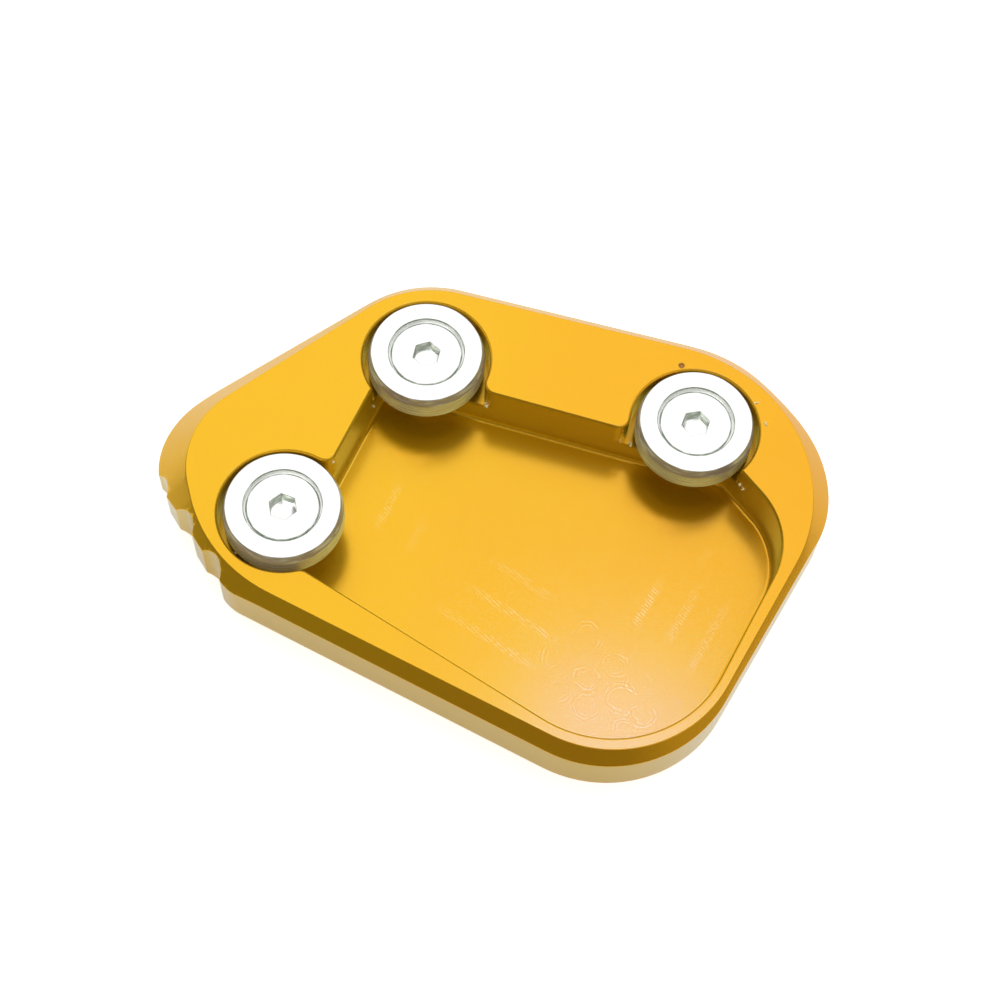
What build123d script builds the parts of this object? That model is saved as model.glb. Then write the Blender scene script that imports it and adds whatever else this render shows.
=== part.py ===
from build123d import *
from math import cos, radians, sin
import os

# Kickstand foot enlarger: a milled plate that widens the foot of a motorbike's side stand.
# The stand's own foot lies in the pocket, and three round clamps screw down over its edge.
# Millimetres. The plate lies on the ground at z = 0 and its long straight side faces -Y.

# Heights
plate_height = 12.5
ground_bevel = 2.6
pocket_depth = 9.5
seat_depth = 4.6

# Foot pocket: distance of each wall from the origin, apart from the right one
pocket_front_reach = 30.8
pocket_shoulder_reach = 31.29
pocket_far_reach = 13.03
pocket_left_reach = 23.89

# Foot pocket: the way each wall faces, in degrees from +X
pocket_front_facing = -95.3
pocket_right_facing = -0.9
pocket_shoulder_facing = 65.2
pocket_far_facing = 101.2
pocket_left_facing = 183.5

# Foot pocket: corners, named by the two walls that meet, and edges
pocket_front_right_radius = 19.1
pocket_right_shoulder_radius = 13.3
pocket_floor_radius = 0.8
cutter_radius = 2.5
rim_corner_radius = 2.0
rim_break = 0.3

# Clamps: round discs that sit in round seats, partly over the pocket
clamp_diameter = 19.0
clamp_thickness = 6.5
clamp_top_inset = 0.5
clamp_top_taper = 1.6
clamp_lower_bevel = 2.0
clamp_hole_play = 0.3
seat_gap = 0.9
boss_radius = 4.4

# Clamp places: how far each axis lies behind one wall of the pocket and before another
left_clamp_behind_left = 3.13
left_clamp_before_front = 6.49
far_clamp_behind_far = 3.2
far_clamp_before_left = 5.53
right_clamp_behind_far = 3.85
right_clamp_before_shoulder = 0.87

# Plate outline: rim between side and pocket, or distance of a side from a clamp's axis
front_rim = 6.37
right_rim = 2.92
right_past_right_clamp = 26.0
shoulder_past_right_clamp = 14.8
far_past_far_clamp = 14.85
left_past_far_clamp = 14.4
notched_past_left_clamp = 13.95

# Plate outline: the way each side faces, in degrees from +X
front_facing = -90.0
right_facing = -3.0
shoulder_facing = 68.0
far_facing = 102.8
left_facing = 150.8
notched_facing = 239.7

# Plate outline: corner radii, named by the two sides that meet
front_right_radius = 20.7
right_shoulder_radius = 19.5
shoulder_far_radius = 18.4
far_left_radius = 18.0
left_notched_radius = 12.4
notched_front_radius = 7.6

# Top face: how far its edge lies inside each side, and where it runs past the left clamp
bevel_angle = 45.0
top_front_inset = 2.0
top_right_inset = 1.0
top_far_inset = 1.7
top_left_inset = 1.4
top_past_left_clamp = 13.6

# Top face: the way its edge faces where it isn't parallel to the side below, in degrees from +X
top_right_facing = -2.3
top_left_facing = 154.8
top_notched_facing = 222.2

# Top face: corner radii, with one wide arc from the right side to the far one
top_front_right_radius = 20.4
top_right_far_radius = 26.0
top_far_left_radius = 17.1
top_left_notched_radius = 15.0
top_notched_front_radius = 25.5

# Half-round notches in the short side, in a row placed from the left clamp's axis
notch_count = 3
notch_radius = 3.4
notch_bite = 1.35
notch_pitch = 8.8
notch_row_shift = -7.25

# Countersunk M6 screws with hexagon sockets, each socket turned as it came to rest
screw_diameter = 6.0
screw_length = 10.0
screw_head_diameter = 11.5
screw_head_land = 0.1
screw_sink = 0.7
screw_recess_gap = 0.35
screw_play = 0.05
countersink_angle = 90.0
socket_flats = 4.0
socket_depth = 2.3
left_socket_turn = 7.0
far_socket_turn = 44.8
right_socket_turn = 37.2
hole_spare = 1.5

# Small dent in the top face, placed from the right clamp's axis
dent_shift_x = -6.7
dent_shift_y = 9.2
dent_ball_radius = 0.9
dent_depth = 0.2

# Sizes that follow from the ones above
seat_height = plate_height - seat_depth
floor_height = plate_height - pocket_depth
seat_radius = clamp_diameter / 2 + seat_gap
clamp_top = seat_height + clamp_thickness
screw_top = clamp_top - screw_sink
hole_bottom = screw_top - screw_length - hole_spare
countersink_radius = screw_head_diameter / 2 + screw_recess_gap
countersink_depth = screw_sink + screw_head_land + screw_play - screw_recess_gap
same_place = 0.001


def corner(side_a, side_b):
    """Point where two sides meet. A side is the angle it faces and its distance from the origin."""
    angle_a = radians(side_a[0])
    angle_b = radians(side_b[0])
    spread = sin(angle_b - angle_a)
    x = (side_a[1] * sin(angle_b) - side_b[1] * sin(angle_a)) / spread
    y = (side_b[1] * cos(angle_a) - side_a[1] * cos(angle_b)) / spread
    return (x, y)


def outline_corners(sides):
    """Corners of a closed outline: each side meets the next one, and the last meets the first."""
    following = sides[1:] + sides[:1]
    return [corner(side, after) for side, after in zip(sides, following)]


def moved_side(side, step):
    """Side moved outwards by a step."""
    return (side[0], side[1] + step)


def side_past(spot, facing, distance):
    """Side that faces this way and lies at a distance past a point."""
    return (facing, spot[0] * cos(radians(facing)) + spot[1] * sin(radians(facing)) + distance)


# The pocket's walls come first, apart from the right one.
front_wall = (pocket_front_facing, pocket_front_reach)
shoulder_wall = (pocket_shoulder_facing, pocket_shoulder_reach)
far_wall = (pocket_far_facing, pocket_far_reach)
left_wall = (pocket_left_facing, pocket_left_reach)

# The clamps stand at three corners of the pocket.
left_spot = corner(
    moved_side(left_wall, left_clamp_behind_left),
    moved_side(front_wall, -left_clamp_before_front),
)
far_spot = corner(
    moved_side(far_wall, far_clamp_behind_far),
    moved_side(left_wall, -far_clamp_before_left),
)
right_spot = corner(
    moved_side(shoulder_wall, -right_clamp_before_shoulder),
    moved_side(far_wall, right_clamp_behind_far),
)
clamp_spots = {"left_clamp": left_spot, "far_clamp": far_spot, "right_clamp": right_spot}
spots = list(clamp_spots.values())
socket_turns = [left_socket_turn, far_socket_turn, right_socket_turn]

# The plate's outline leaves a rim round the pocket and the clamps.
front = (front_facing, pocket_front_reach + front_rim)
right = side_past(right_spot, right_facing, right_past_right_clamp)
shoulder = side_past(right_spot, shoulder_facing, shoulder_past_right_clamp)
far = side_past(far_spot, far_facing, far_past_far_clamp)
left = side_past(far_spot, left_facing, left_past_far_clamp)
notched = side_past(left_spot, notched_facing, notched_past_left_clamp)
plate_corners = outline_corners([front, right, shoulder, far, left, notched])
plate_radii = [
    front_right_radius,
    right_shoulder_radius,
    shoulder_far_radius,
    far_left_radius,
    left_notched_radius,
    notched_front_radius,
]

# The pocket's last three corners lie under the clamps, where the seats and bosses shape them.
right_wall = (pocket_right_facing, right[1] - right_rim)
pocket_corners = outline_corners([front_wall, right_wall, shoulder_wall, far_wall, left_wall])
pocket_radii = [pocket_front_right_radius, pocket_right_shoulder_radius, 0.0, 0.0, 0.0]

# The top face's edge is rounder than the outline below it.
top_sides = [
    moved_side(front, -top_front_inset),
    (top_right_facing, right[1] - top_right_inset),
    moved_side(far, -top_far_inset),
    (top_left_facing, left[1] - top_left_inset),
    side_past(left_spot, top_notched_facing, top_past_left_clamp),
]
top_corners = outline_corners(top_sides)
top_radii = [
    top_front_right_radius,
    top_right_far_radius,
    top_far_left_radius,
    top_left_notched_radius,
    top_notched_front_radius,
]


def on_seat_circle(vertex):
    """Whether a point of the pocket's mouth is where a wall runs into a round seat."""
    distances = [Vector(vertex.X - x, vertex.Y - y).length for x, y in spots]
    return min(abs(distance - seat_radius) for distance in distances) < same_place


os.makedirs("parts", exist_ok=True)

# Base plate: the outline is cut straight, and a cutter that follows the rounder edge of the top
# face bevels it, so the bevel is wide at the corners and narrow along the straights.
with BuildPart() as base_plate:
    with BuildSketch():
        with BuildLine():
            FilletPolyline(plate_corners, radius=plate_radii, close=True)
        make_face()
    extrude(amount=plate_height)
    chamfer(base_plate.edges().group_by(Axis.Z)[0], length=ground_bevel)
    with BuildSketch(Plane.XY.offset(plate_height)):
        with BuildLine():
            FilletPolyline(top_corners, radius=top_radii, close=True)
        make_face()
    extrude(amount=-plate_height, taper=-bevel_angle, mode=Mode.INTERSECT)

    # Notches: a row of half-round grooves through the short side
    notch_way = (cos(radians(notched_facing)), sin(radians(notched_facing)), 0)
    with BuildSketch(Plane((*left_spot, 0), x_dir=notch_way)):
        with Locations((notched_past_left_clamp + notch_radius - notch_bite, notch_row_shift)):
            with GridLocations(notch_pitch, notch_pitch, 1, notch_count):
                Circle(notch_radius)
    extrude(amount=plate_height, mode=Mode.SUBTRACT)

    # Seats: the pocket's mouth widens into a round seat at each clamp, and the two outermost
    # tips between wall and seat stay sharp
    with BuildSketch(Plane.XY.offset(plate_height)) as mouth:
        with BuildLine():
            FilletPolyline(pocket_corners, radius=pocket_radii, close=True)
        make_face()
        with Locations(*spots):
            Circle(seat_radius)
        tips = mouth.vertices().filter_by(on_seat_circle).sort_by(Axis.X)
        fillet(tips[1:-1], radius=rim_corner_radius)
    extrude(amount=-seat_depth, mode=Mode.SUBTRACT)

    # Pocket: the walls go straight down from the seats, with a boss left round each screw.
    # Shrinking and growing the outline leaves only what the round cutter reaches.
    with BuildSketch(Plane.XY.offset(seat_height)):
        with BuildLine():
            FilletPolyline(pocket_corners, radius=pocket_radii, close=True)
        make_face()
        with Locations(*spots):
            Circle(boss_radius, mode=Mode.SUBTRACT)
        offset(amount=-cutter_radius)
        offset(amount=cutter_radius)
    extrude(amount=floor_height - seat_height, mode=Mode.SUBTRACT)
    level_faces = base_plate.faces().filter_by(Axis.Z)
    pocket_floor = level_faces.filter_by(lambda face: abs(face.center().Z - floor_height) < same_place)
    fillet(pocket_floor.edges(), radius=pocket_floor_radius)
    top_face = base_plate.faces().sort_by(Axis.Z)[-1]
    chamfer(top_face.inner_wires()[0].edges(), length=rim_break)

    # Screw holes in the seats, and the dent
    with Locations(*[(x, y, seat_height) for x, y in spots]):
        Hole(radius=screw_diameter / 2 + screw_play, depth=seat_height - hole_bottom)
    dent_x = right_spot[0] + dent_shift_x
    dent_y = right_spot[1] + dent_shift_y
    with Locations((dent_x, dent_y, plate_height + dent_ball_radius - dent_depth)):
        Sphere(dent_ball_radius, mode=Mode.SUBTRACT)
base_plate.part.label = "base_plate"
export_step(base_plate.part, "parts/base_plate.step")

# Clamps: turned discs that taper towards the upper face, with a wide lower bevel and a
# countersunk hole that starts at the bottom of a short straight recess
for clamp_name, (x, y) in clamp_spots.items():
    with BuildPart() as clamp:
        with BuildSketch(Plane((x, y, seat_height))):
            Circle(clamp_diameter / 2)
        extrude(amount=clamp_thickness)
        upper_face = clamp.faces().sort_by(Axis.Z)[-1]
        chamfer(upper_face.edges(), length=clamp_top_inset, length2=clamp_top_taper, reference=upper_face)
        chamfer(clamp.edges().group_by(Axis.Z)[0], length=clamp_lower_bevel)
        with Locations((x, y, clamp_top - countersink_depth)):
            CounterSinkHole(
                radius=screw_diameter / 2 + clamp_hole_play,
                counter_sink_radius=countersink_radius,
                counter_sink_angle=countersink_angle,
            )
    clamp.part.label = clamp_name
    export_step(clamp.part, f"parts/{clamp_name}.step")

# Screws: turned to one profile, then a hexagon socket
head_radius = screw_head_diameter / 2
shank_radius = screw_diameter / 2
head_depth = screw_head_land + head_radius - shank_radius
with BuildPart() as clamp_screws:
    for (x, y), socket_turn in zip(spots, socket_turns):
        with BuildSketch(Plane((x, y, screw_top), x_dir=(1, 0, 0), z_dir=(0, -1, 0))):
            with BuildLine():
                Polyline(
                    (0, 0),
                    (head_radius, 0),
                    (head_radius, -screw_head_land),
                    (shank_radius, -head_depth),
                    (shank_radius, -screw_length),
                    (0, -screw_length),
                    close=True,
                )
            make_face()
        revolve(axis=Axis((x, y, 0), (0, 0, 1)))
        with BuildSketch(Plane((x, y, screw_top))):
            RegularPolygon(socket_flats / 2, 6, major_radius=False, rotation=socket_turn)
        extrude(amount=-socket_depth, mode=Mode.SUBTRACT)
clamp_screws.part.label = "clamp_screws"
export_step(clamp_screws.part, "parts/clamp_screws.step")
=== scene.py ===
# %% [markdown]
# # A kickstand foot enlarger, dressed in Blender
# The part is a flat plate that widens the foot of a motorbike's side stand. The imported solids
# give every piece its place, so this lesson adds fine edges, finish and light. All lengths in
# the code are metres, because the solids load in metres; `MM` turns millimetres into them.

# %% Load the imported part
import math

import bmesh
import bpy
from mathutils import Matrix, Vector


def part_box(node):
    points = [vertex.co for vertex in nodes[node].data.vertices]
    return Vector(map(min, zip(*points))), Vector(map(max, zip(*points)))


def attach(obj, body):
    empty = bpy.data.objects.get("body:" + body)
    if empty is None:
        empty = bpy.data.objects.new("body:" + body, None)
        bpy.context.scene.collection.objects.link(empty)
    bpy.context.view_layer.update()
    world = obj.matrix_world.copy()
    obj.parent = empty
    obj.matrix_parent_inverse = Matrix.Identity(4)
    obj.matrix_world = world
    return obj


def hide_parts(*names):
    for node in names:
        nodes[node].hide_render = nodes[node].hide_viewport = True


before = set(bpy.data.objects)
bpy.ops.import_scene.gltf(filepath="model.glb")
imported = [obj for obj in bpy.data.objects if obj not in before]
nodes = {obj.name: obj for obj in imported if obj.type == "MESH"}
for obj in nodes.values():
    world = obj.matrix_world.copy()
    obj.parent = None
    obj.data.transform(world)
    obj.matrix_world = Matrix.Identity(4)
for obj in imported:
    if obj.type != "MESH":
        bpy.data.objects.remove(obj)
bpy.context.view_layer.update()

MM = 0.001
print("solids:", sorted(nodes))

# %% [markdown]
# ## Where things are
# Each clamp is a round disc, so the middle of its box is the axis of the disc and of the screw in
# it. Reading the axes from the solids keeps the pieces below in place if the plate is remade.

# %% Axes and heights
CLAMPS = ("left_clamp", "far_clamp", "right_clamp")
axes = {}
for name in CLAMPS:
    low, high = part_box(name)
    axes[name] = Vector(((low.x + high.x) / 2, (low.y + high.y) / 2, 0))
    print(name, "axis", [round(v / MM, 2) for v in axes[name].xy])
SEAT_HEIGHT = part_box("left_clamp")[0].z
PLATE_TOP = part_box("base_plate")[1].z
SCREW_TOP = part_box("clamp_screws")[1].z
print("seats at", round(SEAT_HEIGHT / MM, 2), "top face at", round(PLATE_TOP / MM, 2))

# %% [markdown]
# ## Camera
# The photograph was taken from about a third of a metre, high over the long straight side, with a
# slightly long lens. The camera is placed by its two main points and turned by its own up
# direction, so that nothing has to be shifted in the frame.

# %% Camera
CAMERA_PLACE = Vector((58.354, -129.3575, 295.37)) * MM
CAMERA_AIM = Vector((3.594, -5.1875, 14.4)) * MM
CAMERA_UP = Vector((-0.42895, 0.79236, 0.43377))
CAMERA_LENS = 72.0
CAMERA_FILM = 36.0

look = (CAMERA_AIM - CAMERA_PLACE).normalized()
camera_right = look.cross(CAMERA_UP).normalized()
camera_up = camera_right.cross(look)
turn = Matrix((camera_right, camera_up, -look)).transposed().to_4x4()
camera_data = bpy.data.cameras.new("camera")
camera_data.lens = CAMERA_LENS
camera_data.sensor_width = CAMERA_FILM
camera_data.clip_start = 10 * MM
camera = bpy.data.objects.new("camera", camera_data)
camera.matrix_world = Matrix.Translation(CAMERA_PLACE) @ turn
bpy.context.scene.collection.objects.link(camera)
bpy.context.scene.camera = camera
bpy.context.scene.view_settings.view_transform = "Standard"
print("camera", [round(v / MM) for v in CAMERA_PLACE], "looks along", [round(v, 3) for v in look])

# %% [markdown]
# ## Small helpers for nodes
# A material is a tree of nodes. These helpers add a node with its inputs filled in, link sockets
# and give back what the node puts out, so that each material below reads as a short list.

# %% Nodes
def fill(tree, node, values):
    """Fills a node's inputs by name or number; a socket given as a value is linked."""
    for key, value in values.items():
        if isinstance(value, bpy.types.NodeSocket):
            tree.links.new(value, node.inputs[key])
        else:
            node.inputs[key].default_value = value


def put(tree, kind, values=None, **settings):
    """Adds a node with its settings and inputs."""
    node = tree.nodes.new(kind)
    for key, value in settings.items():
        setattr(node, key, value)
    fill(tree, node, values or {})
    return node


def maths(tree, operation, *values):
    """Adds a maths node and gives its result."""
    return put(tree, "ShaderNodeMath", dict(enumerate(values)), operation=operation).outputs[0]


def times(tree, first, *others):
    """Multiplies two values or more."""
    for other in others:
        first = maths(tree, "MULTIPLY", first, other)
    return first


def vectors(tree, operation, *values):
    """Adds a vector maths node and gives its result, a number for a dot product or a distance."""
    node = put(tree, "ShaderNodeVectorMath", dict(enumerate(values)), operation=operation)
    return node.outputs["Value" if operation in ("DOT_PRODUCT", "DISTANCE") else "Vector"]


print("helpers for nodes:", [helper.__name__ for helper in (fill, put, maths, times, vectors)])


# %% Values that vary over a surface
def noise(tree, place, scale, detail):
    """Adds a noise texture and gives its value, around a half."""
    values = {"Vector": place, "Scale": scale, "Detail": detail}
    return put(tree, "ShaderNodeTexNoise", values).outputs["Fac"]


def wave(tree, turns):
    """A smooth wave that repeats at every whole number."""
    return maths(tree, "SINE", maths(tree, "MULTIPLY", turns, 2 * math.pi))


def spread(tree, value, low, high, to_low=0.0, to_high=1.0):
    """Maps a value smoothly from one range to another, clamped at both ends."""
    values = {"Value": value, "From Min": low, "From Max": high, "To Min": to_low, "To Max": to_high}
    return put(tree, "ShaderNodeMapRange", values, interpolation_type="SMOOTHSTEP").outputs[0]


def blend_colour(tree, share, first, second):
    """Mixes two colours by a share."""
    node = put(tree, "ShaderNodeMix", data_type="RGBA")
    fill(tree, node, {0: share, 6: first, 7: second})
    return node.outputs[2]


print("helpers for values:", [helper.__name__ for helper in (noise, wave, spread, blend_colour)])


# %% Materials and groups
ORIGIN = (0, 0, 0)
UP = (0, 0, 1)


def new_material(name):
    """Gives a material, its tree and its Principled shader."""
    material = bpy.data.materials.new(name)
    material.use_nodes = True
    return material, material.node_tree, material.node_tree.nodes["Principled BSDF"]


def new_group(name, inputs, outputs):
    """Starts a shader node group; an input whose value has three numbers is a vector."""
    group = bpy.data.node_groups.new(name, "ShaderNodeTree")
    for title, value in inputs.items():
        kind = "NodeSocketVector" if isinstance(value, tuple) else "NodeSocketFloat"
        group.interface.new_socket(title, in_out="INPUT", socket_type=kind).default_value = value
    for title in outputs:
        group.interface.new_socket(title, in_out="OUTPUT", socket_type="NodeSocketFloat")
    start = group.nodes.new("NodeGroupInput").outputs
    end = group.nodes.new("NodeGroupOutput").inputs
    return group, start, end


def use_group(tree, group, **values):
    """Places a node group in a tree; underscores in a name stand for spaces."""
    node = put(tree, "ShaderNodeGroup", node_tree=group)
    fill(tree, node, {key.replace("_", " "): value for key, value in values.items()})
    return node.outputs


print("helpers for materials:", [helper.__name__ for helper in (new_material, new_group, use_group)])

# %% [markdown]
# ## Floor and surroundings
# The part lies on white paper. Metal has hardly any look of its own: it shows what is around it,
# so the surroundings matter as much as the finish. They are bright at the back and dim on the
# camera's side, where the dark bevel and the sides of the discs look. The paper glows for the
# camera and, more weakly, for metal that mirrors it, so it is white without more light on the
# part, and still takes the part's shadow.

# %% Floor
FLOOR_HALF = 1.5
FLOOR_DROP = 0.02 * MM
PAPER_GLOW = 0.755
PAPER_IN_METAL = 0.33

floor_mesh = bpy.data.meshes.new("paper_floor")
floor_corners = [(-1, -1), (1, -1), (1, 1), (-1, 1)]
floor_corners = [(x * FLOOR_HALF, y * FLOOR_HALF, -FLOOR_DROP) for x, y in floor_corners]
floor_mesh.from_pydata(floor_corners, [], [(0, 1, 2, 3)])
floor = bpy.data.objects.new("paper_floor", floor_mesh)
bpy.context.scene.collection.objects.link(floor)
paper, tree, shader = new_material("white_paper")
shader.inputs["Base Color"].default_value = (0.9, 0.9, 0.9, 1)
shader.inputs["Roughness"].default_value = 0.9
shader.inputs["Specular IOR Level"].default_value = 0.0
shader.inputs["Emission Color"].default_value = (1, 1, 1, 1)
seen = put(tree, "ShaderNodeLightPath").outputs
reflected = maths(tree, "MAXIMUM", seen["Is Glossy Ray"], seen["Is Transmission Ray"])
glow = maths(tree, "MULTIPLY", reflected, PAPER_IN_METAL)
glow = maths(tree, "MULTIPLY_ADD", seen["Is Camera Ray"], PAPER_GLOW, glow)
tree.links.new(glow, shader.inputs["Emission Strength"])
floor_mesh.materials.append(paper)
print("floor:", 2 * FLOOR_HALF, "m wide")

# %% Surroundings
ROOM_DIM = 0.20
ROOM_PATCHES = {
    "side": ((1, 0.1, 0.1), 0.55, 1.0, 0.40),
    "overhead": ((0.45, -0.15, 0.87), 0.80, 0.95, 0.85),
    "back": ((-0.3, 0.9, 0.1), 0.2, 0.7, 1.12),
    "ceiling": ((-0.15, 0.4, 0.9), 0.70, 0.92, 0.22),
}


def grey(level):
    """A grey of one level."""
    return (level, level, level, 1)


world = bpy.data.worlds.new("studio")
bpy.context.scene.world = world
world.use_nodes = True
tree = world.node_tree
seen_way = put(tree, "ShaderNodeTexCoord").outputs["Generated"]
room = grey(ROOM_DIM)
for direction, faint, full, level in ROOM_PATCHES.values():
    towards = vectors(tree, "DOT_PRODUCT", seen_way, Vector(direction).normalized())
    room = blend_colour(tree, spread(tree, towards, faint, full), room, grey(level))
to_camera = put(tree, "ShaderNodeLightPath").outputs["Is Camera Ray"]
room = blend_colour(tree, to_camera, room, grey(1.0))
tree.links.new(room, tree.nodes["Background"].inputs["Color"])
print("room patches:", list(ROOM_PATCHES))

# %% [markdown]
# ## Lamps
# A large soft box behind the part is what its top face and the discs mirror. Two more lamps reach
# only some pieces, through light linking. A small cold one gives the plate a pale sheen at its
# front corner; on the discs it would look blue. A fill over the camera brightens the sides of the
# discs; on the plate it would wash out the shadows in the pocket.

# %% Lamps
def area_lamp(name, place, aim, size, radiance, colour=(1, 1, 1)):
    """A square soft lamp whose face is as bright as the radiance says."""
    lamp_data = bpy.data.lights.new(name, "AREA")
    lamp_data.shape = "SQUARE"
    lamp_data.size = size
    lamp_data.energy = radiance * math.pi * size * size
    lamp_data.color = colour
    lamp = bpy.data.objects.new(name, lamp_data)
    lamp.location = place
    lamp.rotation_euler = (Vector(aim) - Vector(place)).to_track_quat("-Z", "Y").to_euler()
    lamp.visible_camera = False
    bpy.context.scene.collection.objects.link(lamp)
    return lamp


FRONT_CORNER = (0.037, -0.032, 0)
COLD = (0.0, 0.075, 1.0)
area_lamp("soft_box", (-0.12, 0.29, 0.62), ORIGIN, size=0.70, radiance=0.94)
window_place = (-0.0125, 0.193, 0.67)
window = area_lamp("window", window_place, FRONT_CORNER, size=0.08, radiance=20.0, colour=COLD)
window.visible_diffuse = False
front_fill = area_lamp("front_fill", (-0.125, -0.276, 0.63), ORIGIN, size=0.50, radiance=2.0)
window_sees = bpy.data.collections.new("window_sees")
fill_sees = bpy.data.collections.new("fill_sees")
window.light_linking.receiver_collection = window_sees
front_fill.light_linking.receiver_collection = fill_sees

# %% [markdown]
# ## Streaks
# Fine streaks follow the way a tool moved: long along the cut and short across it. Noise that is
# stretched along the cut gives them. Every metal here has such streaks, so they are a node group
# with its own inputs, built once and placed in each material with its own values.

# %% Streaks left by a tool
streaks, start, end = new_group(
    "tool_streaks", {"Place": ORIGIN, "Along": (1, 1, 1), "Detail": 3.0}, ["Streak"]
)
stretched = vectors(streaks, "MULTIPLY", start["Place"], start["Along"])
streaks.links.new(noise(streaks, stretched, 1.0, start["Detail"]), end["Streak"])
print("group:", streaks.name)

# %% [markdown]
# ## Marks of an end mill
# An end mill leaves three kinds of marks on the plate. Along a wall its edge draws one arc for each
# small step of the feed, so one group finds the nearest wall and a second draws the arcs. Where a
# pass ended, the floor keeps a narrow band of hatching. Where the mill turned round, it left
# wandering rings. All are groups as well, which keeps the shape of a mark apart from its places.

# %% Nearest wall
nearest, start, end = new_group(
    "nearest_wall",
    {"Place": ORIGIN, "Facing": (1, 0, 0), "Reach": 0.0, "Gap so far": 1000.0, "Run so far": 0.0},
    ["Gap", "Run"],
)
outwards = vectors(nearest, "DOT_PRODUCT", start["Place"], start["Facing"])
side = vectors(nearest, "CROSS_PRODUCT", start["Facing"], UP)
along = vectors(nearest, "DOT_PRODUCT", start["Place"], side)
gap = maths(nearest, "SUBTRACT", start["Reach"], outwards)
nearer = maths(nearest, "LESS_THAN", gap, start["Gap so far"])
run_step = maths(nearest, "SUBTRACT", along, start["Run so far"])
run = maths(nearest, "MULTIPLY_ADD", run_step, nearer, start["Run so far"])
nearest.links.new(maths(nearest, "MINIMUM", gap, start["Gap so far"]), end["Gap"])
nearest.links.new(run, end["Run"])
print("group:", nearest.name)

# %% Arcs along a wall
arcs, start, end = new_group(
    "cutter_arcs",
    {"Gap": 0.0, "Run": 0.0, "Pass width": 4.5, "Cutter radius": 3.0, "Feed": 0.36},
    ["Arc"],
)
within = maths(arcs, "FLOORED_MODULO", start["Gap"], start["Pass width"])
across = maths(arcs, "SUBTRACT", within, maths(arcs, "MULTIPLY", start["Pass width"], 0.5))
radius_square = maths(arcs, "MULTIPLY", start["Cutter radius"], start["Cutter radius"])
bow_square = maths(arcs, "SUBTRACT", radius_square, maths(arcs, "MULTIPLY", across, across))
bow = maths(arcs, "SQRT", maths(arcs, "MAXIMUM", bow_square, 0.0))
turns = maths(arcs, "DIVIDE", maths(arcs, "ADD", start["Run"], bow), start["Feed"])
arcs.links.new(wave(arcs, turns), end["Arc"])
print("group:", arcs.name)

# %% Hatched band at the end of a pass
bands, start, end = new_group(
    "hatched_band",
    {"Place": ORIGIN, "Middle": ORIGIN, "Along": (1, 0, 0), "Half length": 5.0, "Half width": 0.40},
    ["Band"],
)
offset = vectors(bands, "SUBTRACT", start["Place"], start["Middle"])
run = vectors(bands, "DOT_PRODUCT", offset, start["Along"])
side = vectors(bands, "CROSS_PRODUCT", start["Along"], UP)
across = vectors(bands, "DOT_PRODUCT", offset, side)
past_end = maths(bands, "SUBTRACT", maths(bands, "ABSOLUTE", run), start["Half length"])
past_side = maths(bands, "SUBTRACT", maths(bands, "ABSOLUTE", across), start["Half width"])
on_run = spread(bands, past_end, 0.6, -3.0)
on_width = spread(bands, past_side, 0.55, 0.0)
bands.links.new(maths(bands, "MULTIPLY", on_run, on_width), end["Band"])
print("group:", bands.name)

# %% Rings where the mill turned
swirl, start, end = new_group(
    "cutter_swirl", {"Place": ORIGIN, "Middle": ORIGIN, "Radius": 2.0, "Step": 0.6}, ["Mark"]
)
gap = vectors(swirl, "DISTANCE", start["Place"], start["Middle"])
from_ring = maths(swirl, "ABSOLUTE", maths(swirl, "SUBTRACT", gap, start["Radius"]))
rings = wave(swirl, maths(swirl, "DIVIDE", gap, start["Step"]))
swirl.links.new(maths(swirl, "MULTIPLY", rings, spread(swirl, from_ring, 0.9, 0.3)), end["Mark"])
print("group:", swirl.name)

# %% [markdown]
# ## Gold anodised aluminium
# Anodising grows a clear glassy film on aluminium, which then takes a dye. The dye makes the
# metal's own reflection gold, and the film's surface adds a faint white one, which grows towards
# grazing angles: that is why the bevels that lean away look pale. A metallic base under a thin
# coat does the same. The material first works out, in millimetres, where a point of the plate
# lies: on the pocket's floor, on the top face, on a wall of the pocket or on the outside.

# %% Where a point lies
POCKET_FLOOR = 3.0
TOP_FACE = PLATE_TOP / MM

gold, tree, shader = new_material("gold_anodised_finish")
coords = put(tree, "ShaderNodeTexCoord").outputs
place = vectors(tree, "MULTIPLY", coords["Object"], (1 / MM,) * 3)
lies_at = put(tree, "ShaderNodeSeparateXYZ", {0: place}).outputs
along_plate, height = lies_at["X"], lies_at["Z"]
on_floor = spread(tree, height, POCKET_FLOOR + 0.4, POCKET_FLOOR + 0.05)
on_top = spread(tree, height, TOP_FACE - 0.15, TOP_FACE - 0.02)
on_level = maths(tree, "ADD", on_floor, on_top)
off_level = maths(tree, "SUBTRACT", 1.0, on_level)
outwards = vectors(tree, "DOT_PRODUCT", coords["Normal"], place)
facing_up = put(tree, "ShaderNodeSeparateXYZ", {0: coords["Normal"]}).outputs["Z"]
inside_wall = times(tree, spread(tree, outwards, -1.0, -4.0), off_level)
outside_wall = times(tree, spread(tree, outwards, 1.0, 4.0), spread(tree, facing_up, 0.45, 0.3))
print("floor at", POCKET_FLOOR, "mm, top face at", round(TOP_FACE, 2), "mm")

# %% [markdown]
# The walls that the mill followed are given by the direction that each faces, in degrees, and by
# its distance from the origin. The bands and rings on the floor have no rule, so each has its own
# place: for a band its middle, the direction of its run, half its length and its strength, and
# for a ring its middle and radius.

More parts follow.
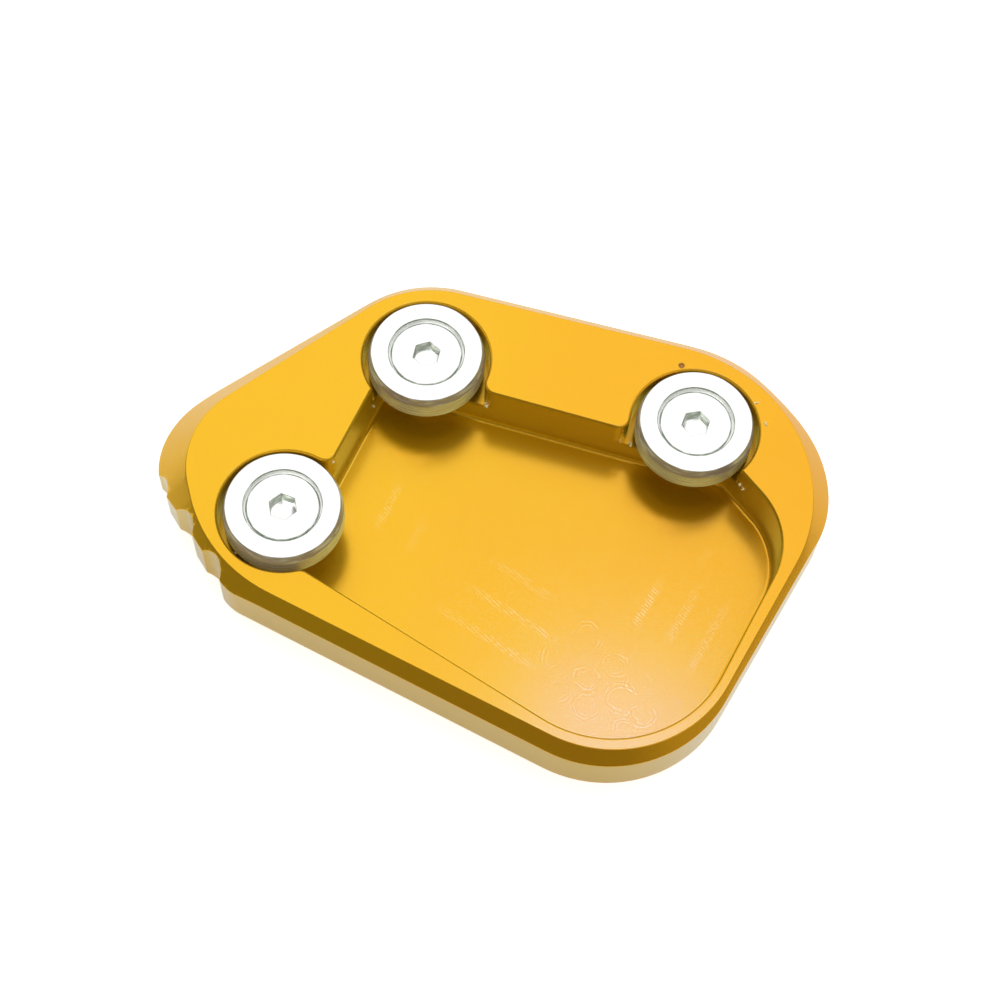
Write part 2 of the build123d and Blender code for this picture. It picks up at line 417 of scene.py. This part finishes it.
# %% Arcs on the floor and on the top face
POCKET_WALLS = ((-95.3, 30.8), (-0.9, 45.6), (65.2, 31.29), (101.2, 13.03), (183.5, 23.89))
PLATE_SIDES = (
    (-90.0, 37.17), (-3.0, 49.5), (68.0, 44.5), (102.8, 31.6), (150.8, 37.4), (239.7, 46.0),
)
FLOOR_ARC_DEPTH = 0.28
TOP_ARC_DEPTH = 0.22


def heading(degrees):
    """The level direction at an angle from +X."""
    return (math.cos(math.radians(degrees)), math.sin(math.radians(degrees)), 0)


def follow_walls(tree, place, walls):
    """Chains the nearest-wall group over some walls; gives the gap to the nearest and the run."""
    found = {"Gap": 1000.0, "Run": 0.0}
    for facing, reach in walls:
        so_far = {"Gap_so_far": found["Gap"], "Run_so_far": found["Run"]}
        found = use_group(tree, nearest, Place=place, Facing=heading(facing), Reach=reach, **so_far)
    return {"Gap": found["Gap"], "Run": found["Run"]}


floor_arcs = use_group(tree, arcs, **follow_walls(tree, place, POCKET_WALLS))["Arc"]
by_sides = follow_walls(tree, place, PLATE_SIDES)
top_arcs = use_group(tree, arcs, **by_sides, Pass_width=5.0, Cutter_radius=4.0, Feed=0.38)["Arc"]
floor_marks = times(tree, floor_arcs, on_floor, FLOOR_ARC_DEPTH)
top_marks = times(tree, top_arcs, on_top)
print("walls followed:", len(POCKET_WALLS) + len(PLATE_SIDES))

# %% Hatched bands on the floor
HATCH_WAY = (0.29, 0.94, 0)
HATCH_STEP = 0.50
PASS_ENDS = (
    (30.5, -5.3, 88, 5.0, 0.75),
    (36.2, -4.2, 88, 6.5, 0.42),
    (41.4, -6.3, 88, 7.6, 0.38),
    (35.0, 6.8, 60, 2.4, 0.30),
    (11.4, -11.0, -6, 7.0, 0.36),
    (12.3, -16.9, -6, 9.0, 0.42),
    (10.5, -22.4, -6, 9.8, 0.40),
    (-14.0, -9.5, 93, 5.5, 0.70),
    (-7.5, -12.0, 93, 4.0, 0.42),
)

in_band = 0.0
for x, y, run_angle, half_length, strength in PASS_ENDS:
    lie = {"Middle": (x, y, POCKET_FLOOR), "Along": heading(run_angle), "Half_length": half_length}
    band = use_group(tree, bands, Place=place, **lie)["Band"]
    in_band = maths(tree, "MULTIPLY_ADD", band, strength, in_band)
in_band = times(tree, in_band, on_floor)
hatch_run = vectors(tree, "DOT_PRODUCT", place, HATCH_WAY)
hatch = wave(tree, maths(tree, "DIVIDE", hatch_run, HATCH_STEP))
fray = spread(tree, noise(tree, place, 1.6, 2.0), 0.38, 0.58, 0.1, 1.0)
hatched = times(tree, spread(tree, hatch, -0.5, 0.8), fray)
print("hatched bands:", len(PASS_ENDS))

# %% Wandering rings on the floor
SWIRLS = (
    (24.5, -14.9, 2.2), (27.5, -21.0, 1.9), (34.9, -17.8, 2.0), (33.8, -21.6, 2.4), (29.5, -25.2, 2.0),
    (24.7, -24.8, 1.7), (30.5, -17.0, 1.8), (38.0, -22.5, 1.9), (21.5, -20.5, 1.8), (36.5, -26.0, 1.8),
)
SWIRL_DEPTH = 0.72
SWIRL_WANDER = 1.6

wander = put(tree, "ShaderNodeTexNoise", {"Vector": place, "Scale": 0.5, "Detail": 1.0}).outputs["Color"]
wandered = vectors(tree, "MULTIPLY_ADD", wander, (SWIRL_WANDER, SWIRL_WANDER, 0), place)
shown = times(tree, spread(tree, noise(tree, place, 0.45, 1.0), 0.42, 0.60), on_floor)
for x, y, radius in SWIRLS:
    middle = (x + SWIRL_WANDER / 2, y + SWIRL_WANDER / 2, POCKET_FLOOR)
    turned = use_group(tree, swirl, Place=wandered, Middle=middle, Radius=radius)["Mark"]
    floor_marks = maths(tree, "MULTIPLY_ADD", times(tree, turned, shown), SWIRL_DEPTH, floor_marks)
marks = maths(tree, "MULTIPLY_ADD", top_marks, TOP_ARC_DEPTH, floor_marks)
print("rings:", len(SWIRLS))

# %% [markdown]
# The marks, level streaks round the outside and a fine grain make one height, which a Bump node
# turns into a slight tilt of the surface. The whole relief is only a few thousandths of a
# millimetre deep, as on the real plate.

# %% Relief of the gold
RELIEF_DEPTH = 0.0035 * MM
MARK_RELIEF, SIDE_RELIEF, GRAIN_RELIEF = 0.9, 1.5, 1.2

level_streaks = use_group(tree, streaks, Place=place, Along=(0.25, 0.25, 14.0))["Streak"]
grain = noise(tree, place, 7.0, 3.0)
side_relief = times(tree, off_level, level_streaks, SIDE_RELIEF)
relief = maths(tree, "ADD", times(tree, marks, MARK_RELIEF), side_relief)
relief = maths(tree, "MULTIPLY_ADD", grain, GRAIN_RELIEF, relief)
bump = put(tree, "ShaderNodeBump", {"Strength": 1.0, "Distance": RELIEF_DEPTH, "Height": relief})
tree.links.new(bump.outputs["Normal"], shader.inputs["Normal"])
print("relief:", round(RELIEF_DEPTH / MM, 4), "mm")

# %% [markdown]
# The dye isn't even. It deepens towards the wide end and drifts in clouds. The paler gold on the
# marks, on hatched bands and on small specks of the level faces is a painted glint. The outer walls
# and the broken rim of the pocket took the dye differently, the notches were cut through it, the gaps
# round the discs are darkened with painted shade, and the dent is a brown spot.

# %% Dye and painted glints on the level faces
GOLD = (0.94, 0.51, 0.002, 1)
GOLD_DEEP = (0.94, 0.44, 0.001, 1)
GOLD_GLINT = (0.97, 0.64, 0.14, 1)
MARK_GLINT, BAND_GLINT, SPECK_GLINT = 0.5, 0.95, 0.15

cloud = maths(tree, "SUBTRACT", noise(tree, place, 0.05, 2.0), 0.5)
drift = maths(tree, "MULTIPLY_ADD", cloud, 0.8, spread(tree, along_plate, -35.0, 45.0))
dye_and_painted_light = blend_colour(tree, drift, GOLD, GOLD_DEEP)
# The paler gold on the marks, the hatched bands and the specks is a painted glint; the marks' relief is
# real.
pale = times(tree, maths(tree, "MAXIMUM", marks, 0.0), MARK_GLINT)
pale = maths(tree, "MULTIPLY_ADD", times(tree, in_band, hatched), BAND_GLINT, pale)
specks = times(tree, spread(tree, noise(tree, place, 3.2, 2.0), 0.45, 0.75), on_level)
pale = maths(tree, "MULTIPLY_ADD", specks, SPECK_GLINT, pale)
dye_and_painted_light = blend_colour(tree, pale, dye_and_painted_light, GOLD_GLINT)
print("gold so far:", len(tree.nodes), "nodes")

# %% Dye on walls, rim and notches
GOLD_SIDE = (0.80, 0.50, 0.02, 1)
GOLD_RIM = (0.66, 0.40, 0.003, 1)
GOLD_BARE = (0.98, 0.76, 0.30, 1)
DENT_SPOT = (0.42, 0.17, 0.03, 1)
DENT_PLACE = axes["right_clamp"] + Vector((-6.7, 9.2, 12.5)) * MM
NOTCH_BARENESS = 0.7

# The dent is painted as a brown spot.
dent_gap = vectors(tree, "DISTANCE", coords["Object"], DENT_PLACE)
dye_and_painted_light = blend_colour(tree, spread(tree, dent_gap, 0.65 * MM, 0.40 * MM), dye_and_painted_light, DENT_SPOT)
dye_and_painted_light = blend_colour(tree, times(tree, outside_wall, off_level), dye_and_painted_light, GOLD_SIDE)
notched = times(tree, outside_wall, spread(tree, along_plate, -38.0, -42.0), NOTCH_BARENESS)
dye_and_painted_light = blend_colour(tree, notched, dye_and_painted_light, GOLD_BARE)
rim_break = times(tree, inside_wall, spread(tree, height, TOP_FACE - 0.4, TOP_FACE - 0.25))
dye_and_painted_light = blend_colour(tree, rim_break, dye_and_painted_light, GOLD_RIM)
print("dent at", [round(v / MM, 2) for v in DENT_PLACE])

# %% Painted shade in the gaps round the discs
# The colour and share of the painted shade that darkens the gold in the gaps round the discs.
GAP_SHADE = (0.30, 0.17, 0.004, 1)
GAP_SHADE_SHARE = 0.6

in_plan = vectors(tree, "MULTIPLY", place, (1, 1, 0))
in_seat = 0.0
for name in CLAMPS:
    from_axis = vectors(tree, "DISTANCE", in_plan, axes[name] / MM)
    in_seat = maths(tree, "MAXIMUM", in_seat, spread(tree, from_axis, 11.2, 10.0))
in_gap = times(tree, spread(tree, height, 12.2, 10.8), spread(tree, height, 6.8, 7.6), in_seat)
dye_and_painted_light = blend_colour(tree, times(tree, in_gap, GAP_SHADE_SHARE), dye_and_painted_light, GAP_SHADE)
print("gold so far:", len(tree.nodes), "nodes")

# %% [markdown]
# Gold that mirrors gold deepens twice, and in the pocket that turns too red. The real film mirrors
# some white light each time. A lighter gold stands in for that where a ray comes from another
# surface, which Light Path tells. What is the same all over is set on the shader itself.

# %% Shader of the gold
GOLD_IN_GOLD = (0.80, 0.65, 0.05, 1)
METAL_SEEN, METAL_IN_GOLD = 0.78, 0.56
GOLD_ROUGHNESS, GRAIN_ROUGHNESS, WALL_ROUGHNESS = 0.17, 0.10, 0.13

bounce = put(tree, "ShaderNodeLightPath").outputs
in_gold = maths(tree, "MAXIMUM", bounce["Is Glossy Ray"], bounce["Is Diffuse Ray"])
dye_and_painted_light = blend_colour(tree, in_gold, dye_and_painted_light, GOLD_IN_GOLD)
tree.links.new(dye_and_painted_light, shader.inputs["Base Color"])
metal = spread(tree, in_gold, 0.0, 1.0, METAL_SEEN, METAL_IN_GOLD)
tree.links.new(metal, shader.inputs["Metallic"])
rough = maths(tree, "MULTIPLY_ADD", grain, GRAIN_ROUGHNESS, GOLD_ROUGHNESS)
rough = maths(tree, "MULTIPLY_ADD", inside_wall, WALL_ROUGHNESS, rough)
tree.links.new(rough, shader.inputs["Roughness"])
shader.inputs["Coat Weight"].default_value = 1.0
shader.inputs["Coat Roughness"].default_value = 0.15
shader.inputs["Coat IOR"].default_value = 1.31
shader.inputs["Specular IOR Level"].default_value = 0.0
print(gold.name, len(tree.nodes), "nodes")

# %% [markdown]
# ## Plate
# The solid plate has the right shape, but its edges are perfectly sharp, which no real edge is.
# A copy is merged into one skin, its flat faces are joined, and the outer edges get a bevel of a
# tenth of a millimetre, so that they catch a thin line of light. Weighted normals keep the big
# faces flat beside the small ones.

# %% A plain mesh with finished shading
def settle(piece):
    """Turns what the modifiers make into the piece's own plain mesh."""
    graph = bpy.context.evaluated_depsgraph_get()
    shaped = bpy.data.meshes.new_from_object(piece.evaluated_get(graph))
    piece.modifiers.clear()
    piece.data = shaped
    return shaped


def finish_mesh(piece, crease=35):
    """Shades smoothly up to a crease, with the big faces kept flat beside the small ones."""
    shaped = settle(piece)
    shaped.polygons.foreach_set("use_smooth", [True] * len(shaped.polygons))
    shaped.set_sharp_from_angle(angle=math.radians(crease))
    weighted = piece.modifiers.new("flat_faces", "WEIGHTED_NORMAL")
    weighted.keep_sharp = True
    settle(piece)
    return piece


print("helpers for meshes:", [helper.__name__ for helper in (settle, finish_mesh)])

# %% Edges that are rubbed
EDGE_WIDTH = 0.10 * MM
RUBBED_ANGLE = math.radians(28)
DENT_REACH = 0.62 * MM
FILLET_LOW, FILLET_HIGH = (POCKET_FLOOR - 0.1) * MM, (POCKET_FLOOR + 1.2) * MM
POCKET_LEFT = -30.0 * MM


def merged_copy(node):
    """One closed skin from a solid's loose triangles, with its flat faces joined."""
    skin = bmesh.new()
    skin.from_mesh(nodes[node].data)
    bmesh.ops.remove_doubles(skin, verts=skin.verts, dist=0.002 * MM)
    flat = math.radians(0.6)
    bmesh.ops.dissolve_limit(skin, angle_limit=flat, verts=skin.verts, edges=skin.edges)
    return skin


def outer_edge(edge):
    """Whether an edge stands out and is sharp enough to be rubbed."""
    if not edge.is_manifold or not edge.is_convex or edge.calc_face_angle() < RUBBED_ANGLE:
        return False
    middle = (edge.verts[0].co + edge.verts[1].co) / 2
    hidden = middle.z < PLATE_TOP - 0.4 * MM and abs(middle.z - SEAT_HEIGHT) < 0.01 * MM
    on_fillet = FILLET_LOW < middle.z < FILLET_HIGH and middle.x > POCKET_LEFT
    return (middle - DENT_PLACE).length > DENT_REACH and not hidden and not on_fillet


skin = merged_copy("base_plate")
weights = skin.edges.layers.float.new("bevel_weight_edge")
rubbed = [edge for edge in skin.edges if outer_edge(edge)]
for edge in rubbed:
    edge[weights] = 1.0
print("rubbed edges:", len(rubbed), "of", len(skin.edges))

# %% Plate with fine edges
plate_mesh = bpy.data.meshes.new("plate")
skin.to_mesh(plate_mesh)
skin.free()
plate = bpy.data.objects.new("plate", plate_mesh)
bpy.context.scene.collection.objects.link(plate)
plate_mesh.materials.clear()
plate_mesh.materials.append(gold)
edge_break = plate.modifiers.new("edge_break", "BEVEL")
edge_break.limit_method = "WEIGHT"
edge_break.width = EDGE_WIDTH
edge_break.segments = 2
edge_break.use_clamp_overlap = False
finish_mesh(plate)
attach(plate, "root")
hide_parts("base_plate")
window_sees.objects.link(plate)
print("plate:", len(plate.data.polygons), "faces")

# %% [markdown]
# ## Bright metals
# The discs are bare turned aluminium and the screws are zinc plated steel. A lathe leaves rings,
# so both finishes read the piece's own UV map: across it runs round the axis, and up it runs along
# the turned outline in millimetres. Bands of that outline have their own colour: the pale recess,
# painted shade in the dark lines round it and round a screw's head, a painted dark reflection on
# the edge and upper side of a disc, a painted warm reflection of the gold on its lower side, and
# the darker socket of a screw. A band is written as its start, its end, the width over which it
# fades, its colour, metal and roughness.

# %% Turned finish
RING_RELIEF = 0.002 * MM
RING_ROUGHNESS = 0.08
BAND_STREAK_STRETCH = (13.0, 1.4, 1.0)


def turned_finish(name, colour, dull, roughness, ring_pitch, bands):
    """A bright metal with fine rings. Each band of the outline has its own colour and dullness."""
    material, tree, shader = new_material(name)
    unrolled = put(tree, "ShaderNodeTexCoord").outputs["UV"]
    up = put(tree, "ShaderNodeSeparateXYZ", {0: unrolled}).outputs["Y"]
    rings = use_group(tree, streaks, Place=unrolled, Along=(3.0, ring_pitch, 1.0), Detail=4.0)["Streak"]
    band_streaks = use_group(tree, streaks, Place=unrolled, Along=BAND_STREAK_STRETCH, Detail=3.0)["Streak"]
    band_streak_share = spread(tree, band_streaks, 0.36, 0.56, 0.30, 1.0)
    worn = spread(tree, noise(tree, unrolled, 2.2, 3.0), 0.35, 0.7, 0.3, 1.0)
    skin = blend_colour(tree, times(tree, spread(tree, rings, 0.42, 0.68), worn), colour, dull)
    metal = 1.0
    rough = maths(tree, "MULTIPLY_ADD", rings, RING_ROUGHNESS, roughness)
    for low, high, soft, band_colour, band_metal, band_rough in bands:
        inside = times(tree, spread(tree, up, low, low + soft), spread(tree, up, high + soft, high))
        skin = blend_colour(tree, times(tree, inside, band_streak_share), skin, band_colour)
        metal = maths(tree, "MULTIPLY_ADD", inside, band_metal - 1.0, metal)
        rough = maths(tree, "MULTIPLY_ADD", inside, band_rough - roughness, rough)
    tree.links.new(skin, shader.inputs["Base Color"])
    tree.links.new(metal, shader.inputs["Metallic"])
    tree.links.new(rough, shader.inputs["Roughness"])
    bump = put(tree, "ShaderNodeBump", {"Strength": 1.0, "Distance": RING_RELIEF, "Height": rings})
    tree.links.new(bump.outputs["Normal"], shader.inputs["Normal"])
    print(name, len(tree.nodes), "nodes")
    return material


# %% Turned aluminium and plated steel
# Bands of a disc, up its outline: the recess; a dark line of painted shade at its mouth; a painted dark
# reflection on the face's edge and on the upper side; a painted warm reflection of the gold on the lower
# side.
DISC_BANDS = (
    (3.3, 7.64, 0.02, (0.95, 0.97, 0.92, 1), 0.60, 0.30),
    (7.66, 7.88, 0.02, (0.22, 0.27, 0.17, 1), 0.40, 0.45),
    (10.56, 10.69, 0.02, (0.30, 0.27, 0.23, 1), 0.80, 0.30),
    (10.72, 12.14, 0.05, (0.50, 0.41, 0.38, 1), 0.55, 0.26),
    (12.22, 15.2, 0.10, (0.78, 0.66, 0.60, 1), 0.62, 0.24),
)
# Bands of a screw: the darker socket, and a dark line of painted shade round the head's edge.
SCREW_BANDS = (
    (2.0, 4.35, 0.08, (0.52, 0.57, 0.46, 1), 0.80, 0.35),
    (7.84, 8.15, 0.03, (0.25, 0.29, 0.22, 1), 0.50, 0.40),
)
ALUMINIUM, ALUMINIUM_DULL = (0.95, 0.955, 0.94, 1), (0.90, 0.90, 0.88, 1)
ZINC, ZINC_DULL = (0.95, 0.96, 0.94, 1), (0.90, 0.92, 0.89, 1)

aluminium = turned_finish("turned_aluminium", ALUMINIUM, ALUMINIUM_DULL, 0.12, 7.0, DISC_BANDS)
steel = turned_finish("plated_steel", ZINC, ZINC_DULL, 0.12, 9.0, SCREW_BANDS)

# %% Undersides darkened with painted shade
underside, tree, shader = new_material("underside_painted_shade")
unrolled = put(tree, "ShaderNodeTexCoord").outputs["UV"]
rings = use_group(tree, streaks, Place=unrolled, Along=(3.0, 5.0, 1.0))["Streak"]
# The undersides' grey is darker than the aluminium above it: painted shade, which the floor mirrors under
# the discs.
dull = blend_colour(tree, spread(tree, rings, 0.3, 0.7), (0.56, 0.55, 0.52, 1), (0.44, 0.43, 0.41, 1))
tree.links.new(dull, shader.inputs["Base Color"])
shader.inputs["Metallic"].default_value = 0.6
shader.inputs["Roughness"].default_value = 0.5
print(underside.name, len(tree.nodes), "nodes")

# %% [markdown]
# ## Turned pieces
# A lathe turns one outline round an axis, and so does this helper. The outline is a list of
# (radius, height) in millimetres. The hexagon socket needs rings that aren't round, so a radius
# may also be a function of the angle.

# %% Lathe
ROUND_STEPS = 96
LAST_RUN = 4.0


def ring_points(radius, height, middle):
    """The points of one ring of the outline."""
    for step in range(ROUND_STEPS):
        angle = 2 * math.pi * step / ROUND_STEPS
        reach = radius(angle) if callable(radius) else radius
        yield middle + Vector((reach * math.cos(angle), reach * math.sin(angle), height)) * MM


def turn_on_lathe(name, outline, closed, middle=Vector(ORIGIN), tip_low=None, tip_high=None):
    """Revolves an outline. A tip closes the start or the end with a point at that height."""
    mesh = bmesh.new()
    unrolled = mesh.loops.layers.uv.new("UVMap")
    rings, runs, run = [], [], 0.0
    for index, (radius, height) in enumerate(outline):
        ring = [mesh.verts.new(point) for point in ring_points(radius, height, middle)]
        rings.append(ring)
        if index:
            before = rings[index - 1]
            run += max((ring[k].co - before[k].co).length for k in range(0, ROUND_STEPS, 8)) / MM
        runs.append(run)

    def add_face(corners):
        face = mesh.faces.new([vert for vert, _, _ in corners])
        for loop, (_, across, up) in zip(face.loops, corners):
            loop[unrolled].uv = (across, up)

    steps = [(k, (k + 1) % ROUND_STEPS, k / ROUND_STEPS, (k + 1) / ROUND_STEPS) for k in range(ROUND_STEPS)]
    pairs = list(range(len(rings) - 1)) + ([len(rings) - 1] if closed else [])
    for first in pairs:
        second = (first + 1) % len(rings)
        run_end = runs[second] if second else runs[first] + LAST_RUN
        for step, after, left, right in steps:
            add_face([
                (rings[first][step], left, runs[first]),
                (rings[first][after], right, runs[first]),
                (rings[second][after], right, run_end),
                (rings[second][step], left, run_end),
            ])
    for tip, ring, up in ((tip_low, rings[0], runs[0] - 2.0), (tip_high, rings[-1], runs[-1] + 3.0)):
        if tip is not None:
            point = mesh.verts.new(middle + Vector((0, 0, tip)) * MM)
            for step, after, left, right in steps:
                add_face([(ring[after], right, up + 1), (ring[step], left, up + 1), (point, left, up)])
    bmesh.ops.recalc_face_normals(mesh, faces=mesh.faces)
    data = bpy.data.meshes.new(name)
    mesh.to_mesh(data)
    mesh.free()
    piece = bpy.data.objects.new(name, data)
    bpy.context.scene.collection.objects.link(piece)
    print("turned", name, len(data.polygons), "faces")
    return piece


# %% [markdown]
# ## Clamp discs
# Three equal discs hold the stand's foot down. Each tapers a little towards its upper face, is
# bevelled underneath and has a countersunk hole with a short straight recess above it. Every
# corner of the outline is broken by two points close together, because a lathe tool never leaves
# a perfect edge.

# %% Discs
DISC_OUTLINE = [
    (3.30, 0.0), (3.30, 3.14), (3.34, 3.24), (5.82, 5.72), (5.88, 5.75), (6.08, 5.75), (6.10, 5.78),
    (6.10, 6.44), (6.16, 6.50), (8.97, 6.50), (9.03, 6.45), (9.46, 5.05), (9.50, 4.75), (9.50, 2.06),
    (9.46, 1.96), (7.56, 0.06), (7.44, 0.0),
]
DISC_CREASE = 12

for name in CLAMPS:
    seat = axes[name] + Vector((0, 0, SEAT_HEIGHT))
    disc = turn_on_lathe(name + "_disc", DISC_OUTLINE, True, seat)
    disc.data.materials.append(aluminium)
    disc.data.materials.append(underside)
    for face in disc.data.polygons:
        face.material_index = 1 if face.normal.z < -0.5 else 0
    finish_mesh(disc, DISC_CREASE)
    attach(disc, "root")
    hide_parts(name)
    fill_sees.objects.link(disc)

# %% [markdown]
# ## Screws
# One countersunk screw is turned and then set into the three discs by Geometry Nodes: a point on
# each axis carries the turn of its socket and how deep the head sank. The tree ends by making
# the copies real, so that the result is a plain mesh.

# %% One screw
SOCKET_FLATS = 4.0


def hexagon(angle, grow=0.0):
    """Distance from the middle to a hexagon's side at an angle."""
    off = angle % (math.pi / 3) - math.pi / 6
    return (SOCKET_FLATS / 2 + grow) / math.cos(off)


def mouth(angle):
    """The socket's mouth, slightly wider than the socket."""
    return hexagon(angle, 0.04)


SCREW_OUTLINE = [
    (0.30, -2.42), (0.60, -2.38), (1.88, -2.34), (1.96, -2.30), (hexagon, -2.30), (hexagon, -0.05),
    (mouth, 0.0), (5.66, 0.0), (5.72, -0.03), (5.75, -0.10), (3.05, -2.80), (3.00, -2.90), (3.00, -9.9),
    (2.9, -10.0),
]
screw = turn_on_lathe("screw", SCREW_OUTLINE, False, tip_low=-2.46, tip_high=-10.0)

# %% Helpers for Geometry Nodes
def new_geometry_tree(name, inputs, output):
    """Starts a Geometry Nodes tree; gives the tree, its named inputs, and its start and end."""
    tree = bpy.data.node_groups.new(name, "GeometryNodeTree")
    named = {}
    for title, kind in inputs.items():
        named[title] = tree.interface.new_socket(title, in_out="INPUT", socket_type="NodeSocket" + kind)
    tree.interface.new_socket(output, in_out="OUTPUT", socket_type="NodeSocketGeometry")
    start = put(tree, "NodeGroupInput").outputs
    end = put(tree, "NodeGroupOutput").inputs
    return tree, named, start, end


def make_real(tree, instances, finish):
    """Makes instances real and gives them a material, because the export drops instances."""
    real = put(tree, "GeometryNodeRealizeInstances", {"Geometry": instances}).outputs[0]
    return put(tree, "GeometryNodeSetMaterial", {"Geometry": real, "Material": finish}).outputs[0]


def points_piece(name, spots, tree, named, values):
    """An object of loose points with a tree on it, its inputs set by their identifiers."""
    points = bpy.data.meshes.new(name)
    points.from_pydata(spots, [], [])
    piece = bpy.data.objects.new(name, points)
    bpy.context.scene.collection.objects.link(piece)
    runner = piece.modifiers.new(tree.name, "NODES")
    runner.node_group = tree
    for title, value in values.items():
        runner[named[title].identifier] = value
    return piece


print("helpers:", [helper.__name__ for helper in (new_geometry_tree, make_real, points_piece)])

# %% A screw on each axis
screws_tree, named, start, end = new_geometry_tree(
    "screws_on_axes", {"Axes": "Geometry", "Screw": "Object", "Finish": "Material"}, "Screws"
)
pattern = put(screws_tree, "GeometryNodeObjectInfo", {"Object": start["Screw"], "As Instance": True})
socket_turn = put(screws_tree, "GeometryNodeInputNamedAttribute", {"Name": "socket_turn"})
spin = put(screws_tree, "ShaderNodeCombineXYZ", {"Z": socket_turn.outputs["Attribute"]}).outputs[0]
values = {"Points": start["Axes"], "Instance": pattern.outputs["Geometry"], "Rotation": spin}
placed = put(screws_tree, "GeometryNodeInstanceOnPoints", values).outputs[0]
screws_tree.links.new(make_real(screws_tree, placed, start["Finish"]), end["Screws"])
print("tree:", screws_tree.name, "inputs", list(named))

# %% Three screws
SOCKET_TURNS = {"left_clamp": 7.0, "far_clamp": 44.8, "right_clamp": 37.2}
HEAD_LIFT = {"left_clamp": 0.10, "far_clamp": 0.0, "right_clamp": 0.0}
SCREW_CREASE = 30

spots = [axes[name] + Vector((0, 0, SCREW_TOP + HEAD_LIFT[name] * MM)) for name in CLAMPS]
screws = points_piece("screws", spots, screws_tree, named, {"Screw": screw, "Finish": steel})
turned_by = screws.data.attributes.new("socket_turn", "FLOAT", "POINT")
turned_by.data.foreach_set("value", [math.radians(SOCKET_TURNS[name]) for name in CLAMPS])
finish_mesh(screws, SCREW_CREASE)
bpy.data.objects.remove(screw)
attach(screws, "root")
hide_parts("clamp_screws")
fill_sees.objects.link(screws)
print("screws:", len(screws.data.polygons), "faces")

# %% [markdown]
# ## Burrs
# The cutter left small bright burrs where the seats break into the pocket. A point marks each
# place. Geometry Nodes makes several copies of every point, scatters them a little with a fixed
# seed and puts a flake of bare metal on each. The flakes' warm, near-white colour is a painted glint.

# %% Burr finish with a painted glint
burr_metal_and_glint, tree, shader = new_material("bare_burrs_and_glint")
coords = put(tree, "ShaderNodeTexCoord").outputs["Object"]
glint = spread(tree, noise(tree, coords, 9000.0, 2.0), 0.35, 0.65)
# The flakes are bare metal whose warm, near-white colour is a painted glint.
bare = blend_colour(tree, glint, (1.0, 0.80, 0.34, 1), (1.0, 0.93, 0.68, 1))
tree.links.new(bare, shader.inputs["Base Color"])
shader.inputs["Metallic"].default_value = 0.1
shader.inputs["Roughness"].default_value = 0.4
print(burr_metal_and_glint.name, len(tree.nodes), "nodes")

# %% Flakes scattered round points
burr_tree, named, start, end = new_geometry_tree(
    "burr_flakes",
    {"Places": "Geometry", "Copies": "Int", "Spread": "Float", "Size": "Float", "Seed": "Int",
     "Finish": "Material"},
    "Flakes",
)


def chance(low, high, offset):
    """A seeded random vector between two values, for each point."""
    seed = maths(burr_tree, "ADD", start["Seed"], offset)
    values = {0: (low,) * 3, 1: (high,) * 3, "Seed": seed}
    return put(burr_tree, "FunctionNodeRandomValue", values, data_type="FLOAT_VECTOR").outputs[0]


def scaled(vector, size):
    """A vector times a size."""
    return put(burr_tree, "ShaderNodeVectorMath", {0: vector, "Scale": size}, operation="SCALE").outputs[0]


copied = put(burr_tree, "GeometryNodeDuplicateElements", {"Geometry": start["Places"]}, domain="POINT")
fill(burr_tree, copied, {"Amount": start["Copies"]})
jump = vectors(burr_tree, "MULTIPLY", scaled(chance(-1.0, 1.0, 1), start["Spread"]), (1, 1, 0.2))
moved = put(burr_tree, "GeometryNodeSetPosition", {"Geometry": copied.outputs[0], "Offset": jump})
flake = put(burr_tree, "GeometryNodeMeshIcoSphere", {"Radius": 1.0, "Subdivisions": 1})
values = {"Points": moved.outputs[0], "Instance": flake.outputs["Mesh"]}
flakes = put(burr_tree, "GeometryNodeInstanceOnPoints", values)
sizes = scaled(chance(0.3, 1.0, 2), start["Size"])
fill(burr_tree, flakes, {"Scale": sizes, "Rotation": chance(0.0, 6.28, 3)})
burr_tree.links.new(make_real(burr_tree, flakes.outputs[0], start["Finish"]), end["Flakes"])
print("tree:", burr_tree.name, "inputs", list(named))

# %% Flakes on the burr places
BURR_PLACES = (
    (-7.75, 11.95, 7.9), (-7.35, 11.8, 7.9), (14.6, 16.35, 7.9), (16.3, 16.65, 7.9), (35.1, 18.3, 8.6),
    (35.9, 17.9, 8.4), (-23.5, -10.35, 11.2), (-24.1, 3.5, 6.4), (31.62, 30.96, 12.47),
    (34.52, 28.02, 12.47), (-29.95, -30.17, 7.9),
)
BURRS = {"Copies": 3, "Spread": 0.25 * MM, "Size": 0.34 * MM, "Seed": 7, "Finish": burr_metal_and_glint}

spots = [Vector(spot) * MM for spot in BURR_PLACES]
burrs = points_piece("burrs", spots, burr_tree, named, BURRS)
settle(burrs)
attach(burrs, "root")
fill_sees.objects.link(burrs)
print("burrs:", len(burrs.data.polygons), "faces")
